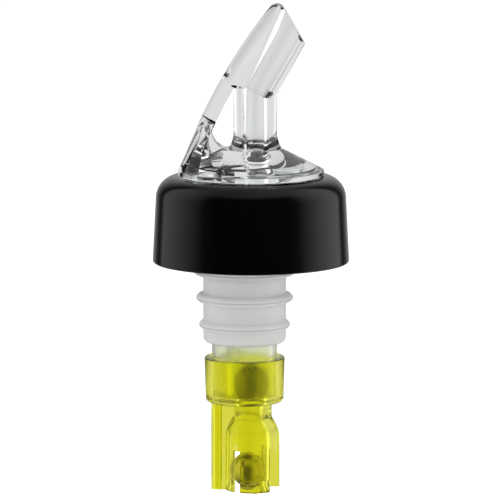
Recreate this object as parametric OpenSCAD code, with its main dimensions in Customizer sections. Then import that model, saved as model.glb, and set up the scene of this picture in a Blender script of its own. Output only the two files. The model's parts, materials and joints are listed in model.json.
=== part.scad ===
// Measured liquor pourer: a clear spout with a breather fin, a loose black collar, a ribbed cork on a
// stem tube, and a yellow measuring tail with two steel balls.
// Millimetres, +Z up, +X towards the pouring tip. The origin is on the stem axis, at the middle of the
// cork's main rib, which is the rib that grips the bottle's neck.

/* [Cork] */
// Diameter of the cork between its ribs
cork_d = 18.3; // [17.5:0.1:19]
// Diameter of the main rib, before the bottle's neck squeezes it
rib_d = 21.4; // [20.5:0.1:22.5]
// How much wider each rib is than the one below it
rib_step = 1.3; // [0.4:0.1:1.4]
// Thickness of a rib
rib_t = 2.2; // [1.8:0.1:2.6]
// Width of the flat band round a rib's edge
rib_land = 1.0; // [0.6:0.1:1.2]
// Distance from one rib to the next
rib_pitch = 6.0; // [5:0.1:6.5]
// Number of ribs above the main rib
ribs_above = 2; // [1:1:3]
// Number of ribs below the main rib
ribs_below = 1; // [0:1:1]
// From the main rib down to the cork's lower end
cork_drop = 10.0; // [9.2:0.1:12]
// Rounding of the cork's lower edge
cork_edge = 1.2; // [0.6:0.1:1.6]
// From the main rib up to the top of the cork's flange
cork_rise = 25.0; // [23:0.1:28]
// Diameter of the flange that the bottle's lip meets
flange_d = 26.0; // [24.6:0.1:28]
// Thickness of that flange
flange_t = 2.0; // [1.4:0.1:3]

/* [Collar] */
// Diameter of the collar at its rim
collar_d = 43.4; // [41.5:0.1:46]
// Height of the collar
collar_h = 19.1; // [16:0.1:22]
// How much less the collar's radius is where the shoulder begins
collar_taper = 1.0; // [0.2:0.1:1.5]
// Radius of the rounded shoulder
shoulder_r = 4.8; // [3.5:0.1:5]
// Wall thickness of the skirt
collar_wall = 1.9; // [1.4:0.1:2.6]
// Thickness of the collar's top plate
collar_top_t = 2.0; // [1.5:0.1:3]
// How far the head's axis stands from the stem's axis, towards the tip
head_offset = 1.4; // [0:0.1:1.8]

/* [Stem tube] */
// Outside diameter of the stem tube
stem_d = 14.4; // [14:0.1:15.2]
// Wall outside the air passage
stem_wall = 1.0; // [0.8:0.1:1.1]
// Wall between the ball race and the air passage
race_wall = 0.65; // [0.5:0.05:0.9]
// How far the ball race stands from the stem's axis
race_offset = 1.0; // [0.9:0.05:1.4]
// Width of the two windows beside the upper ball
port_w = 4.8; // [3:0.1:6]
// Height of those windows
port_h = 4.4; // [3:0.1:5]
// Thickness of the three fins that stop the upper ball
stop_t = 1.0; // [0.8:0.1:1.4]
// How far the fins stand into the race
stop_reach = 1.35; // [1.1:0.05:1.6]
// Length of the fins
stop_len = 8.0; // [4:0.5:14]
// Travel of the upper ball
upper_travel = 6.0; // [3:0.1:7]

/* [Measuring tail] */
// Length of stem that shows between the cork and the cup
neck_show = 3.3; // [2.5:0.1:5]
// Height of the cup
cup_h = 10.0; // [9.2:0.1:12]
// Wall of the cup at its rim
cup_wall = 1.7; // [1.4:0.1:2.2]
// How much thinner the cup's wall is at its foot
cup_draft = 0.3; // [0:0.05:0.4]
// Rounding of the cup's lower edge
cup_edge = 1.0; // [0.4:0.1:1.2]
// Thickness of the cup's floor
cup_floor = 1.7; // [1.4:0.1:2.5]
// Diameter of the throat between the cup and the chamber
throat_d = 5.8; // [5.4:0.1:6.2]
// Wall round the throat
throat_wall = 1.4; // [1:0.1:1.6]
// Length of the chamber's neck below the cup
neck_len = 3.4; // [2.5:0.1:5]
// Height of the chamber's outer shoulder
shoulder_len = 4.5; // [3.5:0.1:6]
// Length of the chamber's straight body below the shoulder
body_len = 11.8; // [11.2:0.1:14]
// Outside diameter of the chamber
chamber_d = 12.1; // [11.8:0.1:12.6]
// How far the chamber's outside stands from the stem's axis
chamber_offset = 1.7; // [1.3:0.05:1.8]
// Height of the cone where the lower ball shuts the throat
seat_len = 2.2; // [1.8:0.1:2.4]
// How far that cone stands up inside the shoulder
seat_lift = 1.4; // [1:0.1:1.6]
// Width of the slots that let liquid in
slot_w = 1.1; // [0.8:0.1:1.6]
// From the race's axis to the middle of the slots
slot_reach = 2.6; // [2.4:0.1:3]
// Length of the slots
slot_len = 9.3; // [7:0.1:10]
// From the race's axis to the step on the tip's side
step_reach = 4.55; // [4.4:0.05:4.8]
// Width of the guide rib beyond that step
guide_w = 2.4; // [1.8:0.1:3.2]
// Width of the ridge down the middle of each leg
ridge_w = 0.9; // [0.6:0.1:1.4]
// How far the ridge stands out
ridge_h = 0.35; // [0.2:0.05:0.5]
// Thickness of the lip that holds the lower ball
lip_t = 2.4; // [1.8:0.1:3]
// Diameter of the hole inside that lip
lip_d = 7.0; // [6.4:0.1:7.2]
// Width of the lead-in under the lip
lip_lead = 0.5; // [0.2:0.1:0.7]
// Outside diameter of the air tube
vent_d = 3.0; // [2.8:0.1:3.4]
// Bore of the air tube
vent_bore = 1.6; // [1.2:0.1:1.8]
// How far the air tube stands out past the stem's side
vent_out = 0.2; // [0:0.05:0.4]
// Thickness of the web between the air tube and the chamber
web_t = 2.6; // [1.6:0.1:3]

/* [Balls] */
// Diameter of both steel balls
ball_d = 7.94; // [7.8:0.01:8]

/* [Spout base] */
// Diameter of the spout's base
base_d = 32.2; // [30:0.1:33]
// Height of the base's straight edge
edge_t = 0.9; // [0.6:0.1:1.6]
// Height of the base's cone above that edge
deck_rise = 5.0; // [4:0.1:6]
// Diameter of the flat on top of the cone
deck_top_d = 13.7; // [13.2:0.1:15]
// Diameter of the boss that the collar turns on
boss_d = 18.8; // [18.6:0.1:20]
// Depth of the socket that holds the stem tube
socket_depth = 2.9; // [2.7:0.1:5]

/* [Pour tube] */
// Outside diameter of the pour tube
tube_d = 9.54; // [9:0.02:10]
// How far the upright tube stands from the head's axis
tube_offset = 0.95; // [0.5:0.05:1.2]
// Bore of the upright tube
tube_bore = 4.2; // [3.6:0.1:4.8]
// Bore of the upper tube, from the elbow to the cut end
mouth_bore = 6.2; // [5.4:0.1:6.6]
// Height of the elbow above the collar
elbow_rise = 18.7; // [17:0.1:21]
// Lean of the upper tube from upright
slant = 28; // [24:0.5:32]
// Length of the upper tube along its axis
slant_len = 17.2; // [14:0.1:19]
// Tilt of the cut end against a square cut
face_tilt = 31.5; // [25:0.5:36]
// Height of the flare at the tube's foot
flare_h = 4.2; // [3:0.1:5]
// Radius of the funnel where the race opens into the tube
funnel_r = 3.0; // [2.6:0.1:3.2]

/* [Breather fin] */
// Radius of the curved back, seen from the side
back_r = 120; // [110:1:130]
// Lean of the back where it leaves the base
back_lean = 18.5; // [18:0.1:20]
// Diameter of the fin's rounded back
fin_d = 8.6; // [8:0.1:9]
// Thickness of the strut beside the window
strut_t = 3.3; // [3:0.1:3.6]
// Height of the strut's foot above the collar
foot_rise = 11.4; // [10.5:0.1:12]
// Radius of the cut in front of the foot
chair_r = 8.35; // [8:0.05:8.6]
// Height of that cut's centre above the collar
chair_rise = 7.4; // [7:0.1:8]
// From the head's axis back to that cut's centre
chair_back = 1.0; // [0.7:0.1:1.4]
// Radius of the fillet between the strut and the deck
heel_r = 4.15; // [3.8:0.05:4.4]
// Width of the web under that fillet
heel_w = 6.4; // [5:0.1:7.5]
// Rounding of the tip
tip_r = 2.0; // [1.2:0.1:2.6]
// Width of the air chamber in the foot
air_w = 4.0; // [3:0.1:5]
// Wall behind the air chamber
air_wall = 1.8; // [1.4:0.1:2.2]
// Gap between the boss and the air chamber
air_clear = 0.3; // [0.2:0.05:0.5]
// Bore of the air passage up the strut
air_bore = 1.8; // [1.4:0.1:2]
// Diameter of the air inlet in the back
inlet_d = 2.4; // [2:0.1:2.8]
// Height of the air inlet above the collar
inlet_rise = 22.3; // [20:0.1:24]

/* [Fits] */
// Overlap of the stem tube in its socket and in the cup
push_squeeze = 0.02; // [0:0.01:0.05]
// Overlap of the cork on the stem tube
cork_squeeze = 0.05; // [0:0.01:0.2]
// Gap all round between the collar and the boss
spin_gap = 0.08; // [0.02:0.01:0.1]
// Play of the collar along its axis
collar_float = 0.1; // [0.05:0.01:0.2]
// Gap all round between a ball and its race
race_gap = 0.38; // [0.25:0.01:0.45]
// Gap between a ball and what it rests on
ball_gap = 0.05; // [0.02:0.01:0.1]

/* [Hidden] */
$fn = 96;
past = 1;        // how far a cutter runs past what it cuts
big = 60;        // longer than anything it cuts
foot_lap = 0.4;  // how far the fin reaches into the foot
channel_lap = 0.4; // how far the air channel reaches down past the socket's top
bore_lap = 0.3;  // how far the upright bore reaches into the upper one
mitre_lap = 0.05; // how far the leaning half of a bent bar runs into the upright half
fin_over = 3;    // degrees that the fin's sweep runs past the tip before it is cut
shoulder_steps = 8;

stem_r = stem_d / 2;
ball_r = ball_d / 2;
race_r = ball_r + race_gap;
throat_r = throat_d / 2;
lip_r = lip_d / 2;

// Levels, from the collar down
plate_z = cork_rise;
top_z = plate_z + collar_top_t;
rim_z = top_z - collar_h;
deck_z = top_z + collar_float;
socket_z = plate_z + socket_depth;
cup_rim_z = -cork_drop - neck_show;
floor_z = cup_rim_z - cup_h + cup_floor;
cup_foot_z = cup_rim_z - cup_h;
shoulder_z = cup_foot_z - neck_len;
body_z = shoulder_z - shoulder_len;
tail_z = body_z - body_len;
seat_z = body_z + seat_lift;

// Balls at rest: a ball meets a round edge of radius e at this height below its centre
function drop_to(e) = sqrt(ball_r * ball_r - e * e);
upper_z = floor_z + drop_to(throat_r) + ball_gap;
lower_z = tail_z + lip_t + drop_to(lip_r) + ball_gap;
stop_edge = race_r - stop_reach;
stop_z = upper_z + upper_travel + drop_to(stop_edge) + ball_gap;

// Tail
cup_r = stem_r + cup_wall;
neck_r = throat_r + throat_wall;
chamber_r = chamber_d / 2;
vent_x = -stem_r + vent_d / 2 - vent_out;
slot_x = race_offset - slot_reach;
step_x = race_offset + step_reach;
leg_x = (slot_x + slot_w / 2 + step_x) / 2;
slot_top_z = tail_z + slot_len;

// Spout, in its own plane: x from the head's axis, z as everywhere
edge_z = deck_z + edge_t;
deck_top_z = edge_z + deck_rise;
base_r = base_d / 2;
tube_r = tube_d / 2;
bore_r = tube_bore / 2;
mouth_r = mouth_bore / 2;
elbow_z = top_z + elbow_rise;
lean = [sin(slant), cos(slant)];
face_n = [sin(slant + face_tilt), cos(slant + face_tilt)];
face_u = [-face_n[1], face_n[0]];
face_p = [tube_offset, elbow_z] + slant_len * lean;
back_c = [-base_r + back_r * cos(back_lean), deck_z - back_r * sin(back_lean)];
foot_z = top_z + foot_rise;
chair_z = top_z + chair_rise;
air_reach = boss_d / 2 + air_clear;
inlet_z = top_z + inlet_rise;

// The back's x at a height, a depth inside its surface
function back_x(z, depth) = back_c[0] - sqrt(pow(back_r - depth, 2) - pow(z - back_c[1], 2));
function back_lean_at(z) = asin((z - back_c[1]) / back_r);
// Where the window's upper corner lies: the strut's inner face meets the tube's side
window_z = back_c[1] + sqrt(pow(back_r - strut_t, 2) - pow(back_c[0] - tube_offset + tube_r, 2));
// Centre of the rounded tip, which touches both the back and the cut end
tip_d = (face_p - back_c) * face_n - tip_r;
tip_c = back_c + tip_d * face_n + sqrt(pow(back_r - tip_r, 2) - tip_d * tip_d) * face_u;
tip_v = (tip_c - back_c) / norm(tip_c - back_c);

// Points along an arc, for turned outlines
function arc(c, r, a0, a1, n = 12) =
    [for (i = [0:n]) c + r * [cos(a0 + (a1 - a0) * i / n), sin(a0 + (a1 - a0) * i / n)]];

// A rib's outline from its lower to its upper root, with a flat band at its edge
function rib(r, z) = let (round = (rib_t - rib_land) / 2)
    concat([[cork_d / 2, z - rib_t / 2]],
           arc([r - round, z - rib_land / 2], round, -90, 0, 6),
           arc([r - round, z + rib_land / 2], round, 0, 90, 6),
           [[cork_d / 2, z + rib_t / 2]]);

// Extrudes an outline drawn in x and z to a width in y, centred
module side(width) {
    rotate([90, 0, 0]) linear_extrude(width, center = true) children();
}

// A round bar from one point of the x-z plane to another
module bar(p, q, r) {
    translate([p[0], 0, p[1]]) rotate([0, atan2(q[0] - p[0], q[1] - p[1]), 0])
        cylinder(r = r, h = norm(q - p));
}

module cork_sleeve() {
    bore = stem_r - cork_squeeze;
    ribs = [for (i = [-ribs_below:ribs_above]) each rib(rib_d / 2 + i * rib_step / 2, i * rib_pitch)];
    color([0.80, 0.80, 0.80, 0.8]) rotate_extrude() polygon(concat(
        [[bore, -cork_drop]],
        arc([cork_d / 2 - cork_edge, -cork_drop + cork_edge], cork_edge, -90, 0, 6),
        ribs,
        [[cork_d / 2, cork_rise - flange_t], [flange_d / 2, cork_rise - flange_t],
         [flange_d / 2, cork_rise], [bore, cork_rise]]));
}

module collar() {
    rim_r = collar_d / 2;
    neck = rim_r - collar_taper;
    in_round = shoulder_r - collar_wall;
    hole = boss_d / 2 + spin_gap;
    color([0.02, 0.02, 0.02]) translate([head_offset, 0, 0]) rotate_extrude() polygon(concat(
        [[hole, top_z], [hole, plate_z]],
        arc([neck - shoulder_r, plate_z - in_round], in_round, 90, 0),
        [[rim_r - collar_wall, rim_z], [rim_r, rim_z]],
        arc([neck - shoulder_r, top_z - shoulder_r], shoulder_r, 0, 90)));
}

// The air passage: the part of the ring inside the stem's wall that lies behind the race
module air_passage() {
    translate([0, 0, floor_z - past]) intersection() {
        difference() {
            cylinder(r = stem_r - stem_wall, h = big);
            translate([race_offset, 0, 0]) cylinder(r = race_r + race_wall, h = big);
        }
        translate([-big - race_offset, -big / 2, 0]) cube([big, big, big]);
    }
}

module stem_tube() {
    color([0.88, 0.88, 0.86, 0.6]) union() {
        difference() {
            translate([0, 0, floor_z]) cylinder(r = stem_r, h = socket_z - floor_z);
            translate([race_offset, 0, floor_z - past])
                cylinder(r = race_r, h = socket_z - floor_z + 2 * past);
            air_passage();
            translate([-port_w / 2, -big / 2, upper_z - port_h / 2]) cube([port_w, big, port_h]);
        }
        // Three fins that hold the upper ball back and let liquid past it
        intersection() {
            translate([race_offset, 0, stop_z]) difference() {
                cylinder(r = race_r + race_wall / 2, h = stop_len);
                translate([0, 0, -past]) cylinder(r = stop_edge, h = stop_len + 2 * past);
            }
            for (turn = [0, 120, 240]) translate([race_offset, 0, stop_z]) rotate([0, 0, turn])
                translate([0, -stop_t / 2, -past]) cube([stem_r, stop_t, stop_len + 2 * past]);
        }
    }
}

module cup() {
    foot_r = cup_r - cup_draft;
    rotate_extrude() polygon(concat(
        [[0, cup_rim_z - cup_h], [foot_r - cup_edge, cup_foot_z]],
        arc([foot_r - cup_edge, cup_foot_z + cup_edge], cup_edge, -90, 0, 6),
        [[cup_r, cup_rim_z], [0, cup_rim_z]]));
}

module chamber() {
    grow = chamber_r - neck_r;
    shoulder = [for (i = [0:shoulder_steps])
        [neck_r + grow * sin(90 * i / shoulder_steps), shoulder_z - shoulder_len * i / shoulder_steps]];
    rotate_extrude() polygon(concat(
        [[0, cup_foot_z + cup_floor / 2], [neck_r, cup_foot_z + cup_floor / 2]],
        shoulder,
        [[chamber_r, tail_z], [0, tail_z]]));
}

module measuring_tail() {
    color([0.82, 0.82, 0.16, 0.75]) difference() {
        union() {
            cup();
            translate([chamber_offset, 0, 0]) chamber();
            translate([vent_x, 0, tail_z]) cylinder(d = vent_d, h = cup_foot_z - tail_z + cup_floor / 2);
            translate([vent_x, -web_t / 2, tail_z])
                cube([chamber_offset - vent_x, web_t, cup_foot_z - tail_z + cup_floor / 2]);
            translate([leg_x - ridge_w / 2, -chamber_r - ridge_h, tail_z])
                cube([ridge_w, 2 * (chamber_r + ridge_h), body_len]);
        }
        translate([0, 0, floor_z]) cylinder(r = stem_r - push_squeeze, h = cup_h + past);
        translate([vent_x, 0, tail_z - past]) cylinder(d = vent_bore, h = big);
        translate([race_offset, 0, 0]) {
            translate([0, 0, tail_z - past]) cylinder(r = lip_r, h = lip_t + 2 * past);
            translate([0, 0, tail_z]) cylinder(r1 = lip_r + lip_lead, r2 = lip_r, h = lip_t / 2);
            translate([0, 0, tail_z + lip_t]) cylinder(r = race_r, h = seat_z - tail_z - lip_t);
            translate([0, 0, seat_z]) cylinder(r1 = race_r, r2 = throat_r, h = seat_len);
            translate([0, 0, seat_z]) cylinder(r = throat_r, h = floor_z - seat_z + past);
        }
        translate([slot_x - slot_w / 2, -big / 2, tail_z - past]) cube([slot_w, big, slot_len + past]);
        for (flip = [0, 1]) mirror([0, flip, 0])
            translate([step_x, guide_w / 2, tail_z - past]) cube([big, big, slot_len + past]);
    }
}

module upper_ball() {
    color([0.55, 0.53, 0.50]) translate([race_offset, 0, upper_z]) sphere(d = ball_d);
}

module lower_ball() {
    color([0.55, 0.53, 0.50]) translate([race_offset, 0, lower_z]) sphere(d = ball_d);
}

// A bar that rises upright, then bends over at the elbow with a mitred corner
module bent_bar(r, low_z, reach) {
    translate([tube_offset, 0, elbow_z]) {
        intersection() {
            translate([0, 0, low_z - elbow_z]) cylinder(r = r, h = elbow_z - low_z + big);
            rotate([0, slant / 2, 0]) translate([-big, -big, -2 * big]) cube(2 * big);
        }
        intersection() {
            rotate([0, slant, 0]) translate([0, 0, -big]) cylinder(r = r, h = big + reach);
            rotate([0, slant / 2, 0]) translate([-big, -big, -mitre_lap]) cube(2 * big);
        }
    }
}

// Cone, flat top and edge of the base, with the flare round the tube's foot
module deck() {
    rotate_extrude() polygon([[0, deck_z], [base_r, deck_z], [base_r, edge_z],
        [deck_top_d / 2, deck_top_z], [0, deck_top_z]]);
    flare_w = deck_top_d / 2 - tube_offset - tube_r;
    flare_r = (flare_h * flare_h + flare_w * flare_w) / (2 * flare_w);
    sweep = asin(flare_h / flare_r);
    translate([tube_offset, 0, deck_top_z + flare_h]) rotate_extrude() polygon(concat(
        [[0, -flare_h - edge_t], [tube_r + flare_w, -flare_h - edge_t]],
        arc([tube_r + flare_r, 0], flare_r, 180 + sweep, 180), [[0, 0]]));
}

// The round-backed fin, swept along the back's arc from the foot past the tip
module fin() {
    low = back_lean_at(foot_z - foot_lap);
    high = back_lean_at(tip_c[1]) + fin_over;
    translate([back_c[0], 0, back_c[1]]) rotate([90, 0, 0]) rotate([0, 0, 180 - high])
        rotate_extrude(angle = high - low) translate([back_r - fin_d / 2, 0]) circle(d = fin_d);
}

// The foot spreads from the fin's section down to the edge of the base
module foot() {
    tilt = back_lean_at(foot_z);
    hull() {
        translate([0, 0, deck_z]) cylinder(r = base_r, h = edge_t, $fn = 48);
        translate([back_x(foot_z, fin_d / 2), 0, foot_z]) rotate([0, tilt, 0])
            cylinder(d = fin_d, h = foot_lap, center = true, $fn = 48);
    }
}

// What the side view leaves open beside the strut, up to where the fin meets the tube
module window_cut() {
    side(big) difference() {
        translate([back_x(foot_z, strut_t) - past, foot_z - heel_r])
            square([base_r, window_z - foot_z + heel_r]);
        difference() {
            translate([-base_d, 0]) square([base_d, big]);
            translate(back_c) circle(r = back_r - strut_t, $fn = 360);
        }
    }
}

// The cut that leaves the foot standing behind the tube, like the back of a chair
module chair_cut() {
    side(big) translate([-chair_back, chair_z]) circle(r = chair_r);
    side(big) translate([-chair_back, deck_z - past]) square([big, foot_z - deck_z + fin_d]);
}

// The web that carries the strut's inner face down to the deck
module heel() {
    heel_z = deck_top_z + heel_r;
    heel_c = [back_x(heel_z, strut_t) + heel_r, heel_z];
    rear = back_x(chair_z, strut_t);
    side(heel_w) difference() {
        translate([rear, deck_z]) square([heel_c[0] - rear, heel_z - deck_z]);
        translate(heel_c) circle(r = heel_r);
    }
}

// Air chamber in the foot, the channel to the stem's passage, and the bore up the strut to its inlet
module air_way() {
    mid = strut_t / 2;
    passage_x = -head_offset + race_offset - race_r - race_wall;
    side(air_w) polygon([
        [back_x(deck_z, air_wall), deck_z - past], [-air_reach, deck_z - past],
        [-air_reach, chair_z], [back_x(foot_z, mid) + air_bore / 2, foot_z],
        [back_x(foot_z, mid) - air_bore / 2, foot_z], [back_x(chair_z, air_wall), chair_z]]);
    translate([-air_reach - past, -air_bore / 2, socket_z - channel_lap])
        cube([air_reach + past + passage_x, air_bore, channel_lap + air_bore]);
    bar([back_x(foot_z - past, mid), foot_z - past], [back_x(inlet_z, mid), inlet_z], air_bore / 2);
    translate([back_x(inlet_z, mid), 0, inlet_z]) rotate([0, back_lean_at(inlet_z) - 90, 0])
        cylinder(d = inlet_d, h = strut_t);
}

// The oblique cut across the end, and the rounding of its upper corner
module end_cut() {
    translate([face_p[0], 0, face_p[1]]) rotate([0, slant + face_tilt, 0])
        translate([-tube_d * 2, -tube_d, 0]) cube([tube_d * 4, tube_d * 2, tube_d * 2]);
    side(tube_d * 2) difference() {
        polygon([tip_c, tip_c + tube_d * face_n,
                 tip_c + tube_d * (face_n + tip_v), tip_c + tube_d * tip_v]);
        translate(tip_c) circle(r = tip_r);
    }
}

module spout() {
    color([0.93, 0.95, 0.96, 0.35]) translate([head_offset, 0, 0]) difference() {
        union() {
            difference() {
                union() {
                    difference() {
                        fin();
                        window_cut();
                    }
                    bent_bar(tube_r, edge_z, slant_len + tube_d);
                }
                end_cut();
            }
            difference() {
                foot();
                chair_cut();
                window_cut();
            }
            heel();
            deck();
            translate([0, 0, plate_z]) cylinder(d = boss_d, h = deck_z - plate_z + edge_t / 2);
        }
        translate([-head_offset, 0, plate_z - past])
            cylinder(r = stem_r - push_squeeze, h = socket_depth + past);
        translate([tube_offset, 0, socket_z - past])
            cylinder(r = bore_r, h = elbow_z + bore_r * tan(slant) + bore_lap - socket_z + past);
        translate([tube_offset, 0, elbow_z]) rotate([0, slant, 0])
            cylinder(r = mouth_r, h = slant_len + tube_d);
        translate([tube_offset, 0, socket_z]) sphere(r = funnel_r);
        air_way();
    }
}

spout();
collar();
cork_sleeve();
stem_tube();
measuring_tail();
upper_ball();
lower_ball();
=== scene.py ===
"""Dresses a measured pourer: a clear spout, a black collar, a ribbed cork and a yellow measuring tail."""
import json
import math
from types import SimpleNamespace

import bmesh
import bpy
from bpy.props import FloatProperty, FloatVectorProperty, IntProperty, PointerProperty
from mathutils import Matrix, Vector

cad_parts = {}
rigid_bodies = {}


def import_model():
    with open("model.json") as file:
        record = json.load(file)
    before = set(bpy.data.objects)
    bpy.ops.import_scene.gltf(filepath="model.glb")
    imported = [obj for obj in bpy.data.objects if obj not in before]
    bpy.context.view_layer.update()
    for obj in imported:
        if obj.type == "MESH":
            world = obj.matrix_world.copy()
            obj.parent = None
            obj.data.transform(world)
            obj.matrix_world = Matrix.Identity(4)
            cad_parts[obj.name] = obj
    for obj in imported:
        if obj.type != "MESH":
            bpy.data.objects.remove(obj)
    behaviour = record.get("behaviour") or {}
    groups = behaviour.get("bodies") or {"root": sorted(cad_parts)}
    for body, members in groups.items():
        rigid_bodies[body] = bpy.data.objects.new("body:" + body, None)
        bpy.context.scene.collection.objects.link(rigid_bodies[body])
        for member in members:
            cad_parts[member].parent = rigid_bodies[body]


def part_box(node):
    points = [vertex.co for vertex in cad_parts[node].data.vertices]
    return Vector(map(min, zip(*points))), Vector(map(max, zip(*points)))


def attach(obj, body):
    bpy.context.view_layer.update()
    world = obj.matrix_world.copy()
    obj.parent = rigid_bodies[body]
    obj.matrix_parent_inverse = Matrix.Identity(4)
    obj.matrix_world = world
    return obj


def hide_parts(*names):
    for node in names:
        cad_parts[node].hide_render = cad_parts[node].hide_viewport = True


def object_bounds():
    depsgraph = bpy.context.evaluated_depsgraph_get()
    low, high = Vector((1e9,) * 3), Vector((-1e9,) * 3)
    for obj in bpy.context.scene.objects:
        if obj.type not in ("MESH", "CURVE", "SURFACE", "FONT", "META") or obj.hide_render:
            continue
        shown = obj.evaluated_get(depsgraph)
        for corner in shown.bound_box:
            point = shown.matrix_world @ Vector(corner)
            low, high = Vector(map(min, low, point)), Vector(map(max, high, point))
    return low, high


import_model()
CAD_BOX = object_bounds()

bl_info = {
    "name": "Measured pourer",
    "version": (1, 0, 0),
    "blender": (4, 5, 0),
    "location": "View3D > Sidebar > Pourer",
    "description": "Builds a measured liquor pourer and its studio around the packed frame",
    "category": "Add Mesh",
}

MM = 0.001


def measured(node):
    """Where a CAD node stands at rest and how wide it is in x, in millimetres to the micrometre."""
    low, high = ([round(c / MM, 3) for c in corner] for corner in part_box(node))
    return SimpleNamespace(left=low[0], right=high[0], foot=low[2], top=high[2],
                           width=round(high[0] - low[0], 3), middle=round((low[0] + high[0]) / 2, 3))


NODES = ("spout", "collar", "cork_sleeve", "stem_tube", "measuring_tail", "upper_ball")
SPOUT, COLLAR, CORK, STEM, TAIL, BALL = (measured(node) for node in NODES)

# Shared places and clearances, in millimetres
HEAD_X = COLLAR.middle    # axis of the spout's base and of the collar
RACE_X = BALL.middle      # axis of both ball races
CHAMBER_X = 1.7           # axis of the ball chamber's outside
RACE_R = 4.35             # both ball races
STEM_HOLE_R = 7.22        # the hole that takes the stem, in the spout, the cork and the cup
FAR = 20                  # well past the object's side, for a cutting block
NEAR = 1e-4               # two points nearer than this are one


def linear(code):
    """The linear colour of an sRGB hex value."""
    parts = [int(code[i:i + 2], 16) / 255 for i in (1, 3, 5)]
    return tuple(c / 12.92 if c <= 0.04045 else ((c + 0.055) / 1.055) ** 2.4 for c in parts)


# Sizes and colours a user would change

def size(name, description, mm):
    """A length, given in millimetres."""
    return FloatProperty(name=name, description=description, default=mm * MM, unit="LENGTH",
                         subtype="DISTANCE")


def colour(name, description, code):
    """A colour, given as an sRGB hex value."""
    return FloatVectorProperty(name=name, description=description, default=linear(code), min=0, max=1,
                               subtype="COLOR")


class SpoutSettings(bpy.types.PropertyGroup):
    base: size("Base", "Diameter of the spout's base", 2 * (HEAD_X - SPOUT.left))
    deck_top: size("Deck top", "Diameter of the flat on top of the base's cone", 13.7)
    tube: size("Tube", "Outside diameter of the pour tube", 9.54)
    bore: size("Bore", "Bore of the pour tube", 4.2)
    slant_length: size("Upper tube", "Length of the leaning tube along its axis", 17.2)
    back_radius: size("Back", "Radius of the fin's curved back, seen from the side", 120)
    fin: size("Fin", "Diameter of the fin's rounded back", 8.6)
    strut: size("Strut", "Thickness of the strut beside the window", 3.3)
    tint: colour("Tint", "Colour of the clear moulding", "#fafbfb")


class CollarSettings(bpy.types.PropertyGroup):
    rim: size("Rim", "Diameter of the collar at its rim", COLLAR.width)
    height: size("Height", "Height of the collar", COLLAR.top - COLLAR.foot)
    shoulder: size("Shoulder", "Radius of the rounded shoulder", 4.8)
    wall: size("Wall", "Wall thickness of the skirt", 1.9)
    paint: colour("Colour", "Colour of the collar's plastic", "#030303")


class CorkSettings(bpy.types.PropertyGroup):
    body: size("Body", "Diameter of the cork between its ribs", 18.3)
    main_rib: size("Main rib", "Diameter of the rib that grips the bottle", 21.4)
    rib_step: size("Rib step", "How much wider each rib is than the one below it", 1.3)
    rib_pitch: size("Rib pitch", "Distance from one rib to the next", 6.0)
    rubber: colour("Colour", "Colour of the soft sleeve", "#dedede")
    natural: colour("Stem colour", "Colour of the natural plastic stem tube", "#fdfdf9")


class TailSettings(bpy.types.PropertyGroup):
    cup: size("Cup", "Diameter of the cup at its rim", TAIL.width)
    chamber: size("Chamber", "Diameter of the ball chamber", 12.1)
    slot: size("Slot", "Width of the slots that let liquid in", 1.1)
    air_tube: size("Air tube", "Outside diameter of the air tube", 3.0)
    dye: colour("Colour", "Colour of the yellow moulding", "#f4f457")


class BallSettings(bpy.types.PropertyGroup):
    ball: size("Ball", "Diameter of both steel balls", BALL.width)
    rings: IntProperty(name="Rings", description="Rings of faces on a ball", default=48, min=16, max=128)
    steel: colour("Colour", "Colour of the steel", "#bfb9ad")
    # painted shade: darkens the upper ball's copy of the steel, though both balls are the same steel, to
    # stand in for the shade it sits in
    upper_painted_shade: FloatProperty(name="Upper ball", description="Its brightness beside the lower ball's",
                               default=0.55, min=0, max=1, subtype="FACTOR")


class StageSettings(bpy.types.PropertyGroup):
    floor_drop: size("Floor", "From the lowest point down to the floor", 30)
    paper: colour("Paper", "Colour of the floor", "#f4f4f4")


# Outlines and solids, in millimetres

def rounded(corners, steps=5):
    """The closed outline through corners (x, z, radius), each of them rounded to its radius."""
    points = []
    for i, (x, z, radius) in enumerate(corners):
        here = Vector((x, z))
        if radius <= 0:
            points.append(here)
            continue
        back = (Vector(corners[i - 1][:2]) - here).normalized()
        ahead = (Vector(corners[(i + 1) % len(corners)][:2]) - here).normalized()
        half = back.angle(ahead) / 2
        centre = here + (back + ahead).normalized() * radius / math.sin(half)
        start, end = (here + way * radius / math.tan(half) - centre for way in (back, ahead))
        turn = start.angle_signed(end)
        for k in range(steps + 1):
            points.append(centre + Matrix.Rotation(-turn * k / steps, 2) @ start)
    return points


def arc(x, z, radius, start, end, steps=24):
    """Points along an arc round (x, z), from one angle in degrees to another."""
    angles = (math.radians(start + (end - start) * k / steps) for k in range(steps + 1))
    return [Vector((x + radius * math.cos(a), z + radius * math.sin(a))) for a in angles]


def lathe(outline, x=0, segments=128):
    """A solid turned round an upright axis at x from its outline of (radius, height) points."""
    bm = bmesh.new()
    verts = [bm.verts.new((max(p[0], 0), 0, p[1])) for p in outline]
    for a, b in zip(verts, verts[1:] + verts[:1]):
        if max(a.co.x, b.co.x) > 1e-6:    # an edge along the axis would make no face
            bm.edges.new((a, b))
    bmesh.ops.spin(bm, geom=bm.verts[:] + bm.edges[:], cent=(0, 0, 0), axis=(0, 0, 1), dvec=(0, 0, 0),
                   angle=math.tau, steps=segments, use_merge=True)
    bmesh.ops.remove_doubles(bm, verts=bm.verts, dist=NEAR)
    bmesh.ops.translate(bm, verts=bm.verts, vec=(x, 0, 0))
    return closed(bm)


def slab(outline, width):
    """A flat solid cut to an outline in x and z, of a width in y, centred."""
    bm = bmesh.new()
    face = bm.faces.new([bm.verts.new((p[0], -width / 2, p[1])) for p in outline])
    out = bmesh.ops.extrude_face_region(bm, geom=[face])
    verts = [v for v in out["geom"] if isinstance(v, bmesh.types.BMVert)]
    bmesh.ops.translate(bm, verts=verts, vec=(0, width, 0))
    return closed(bm)


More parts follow.
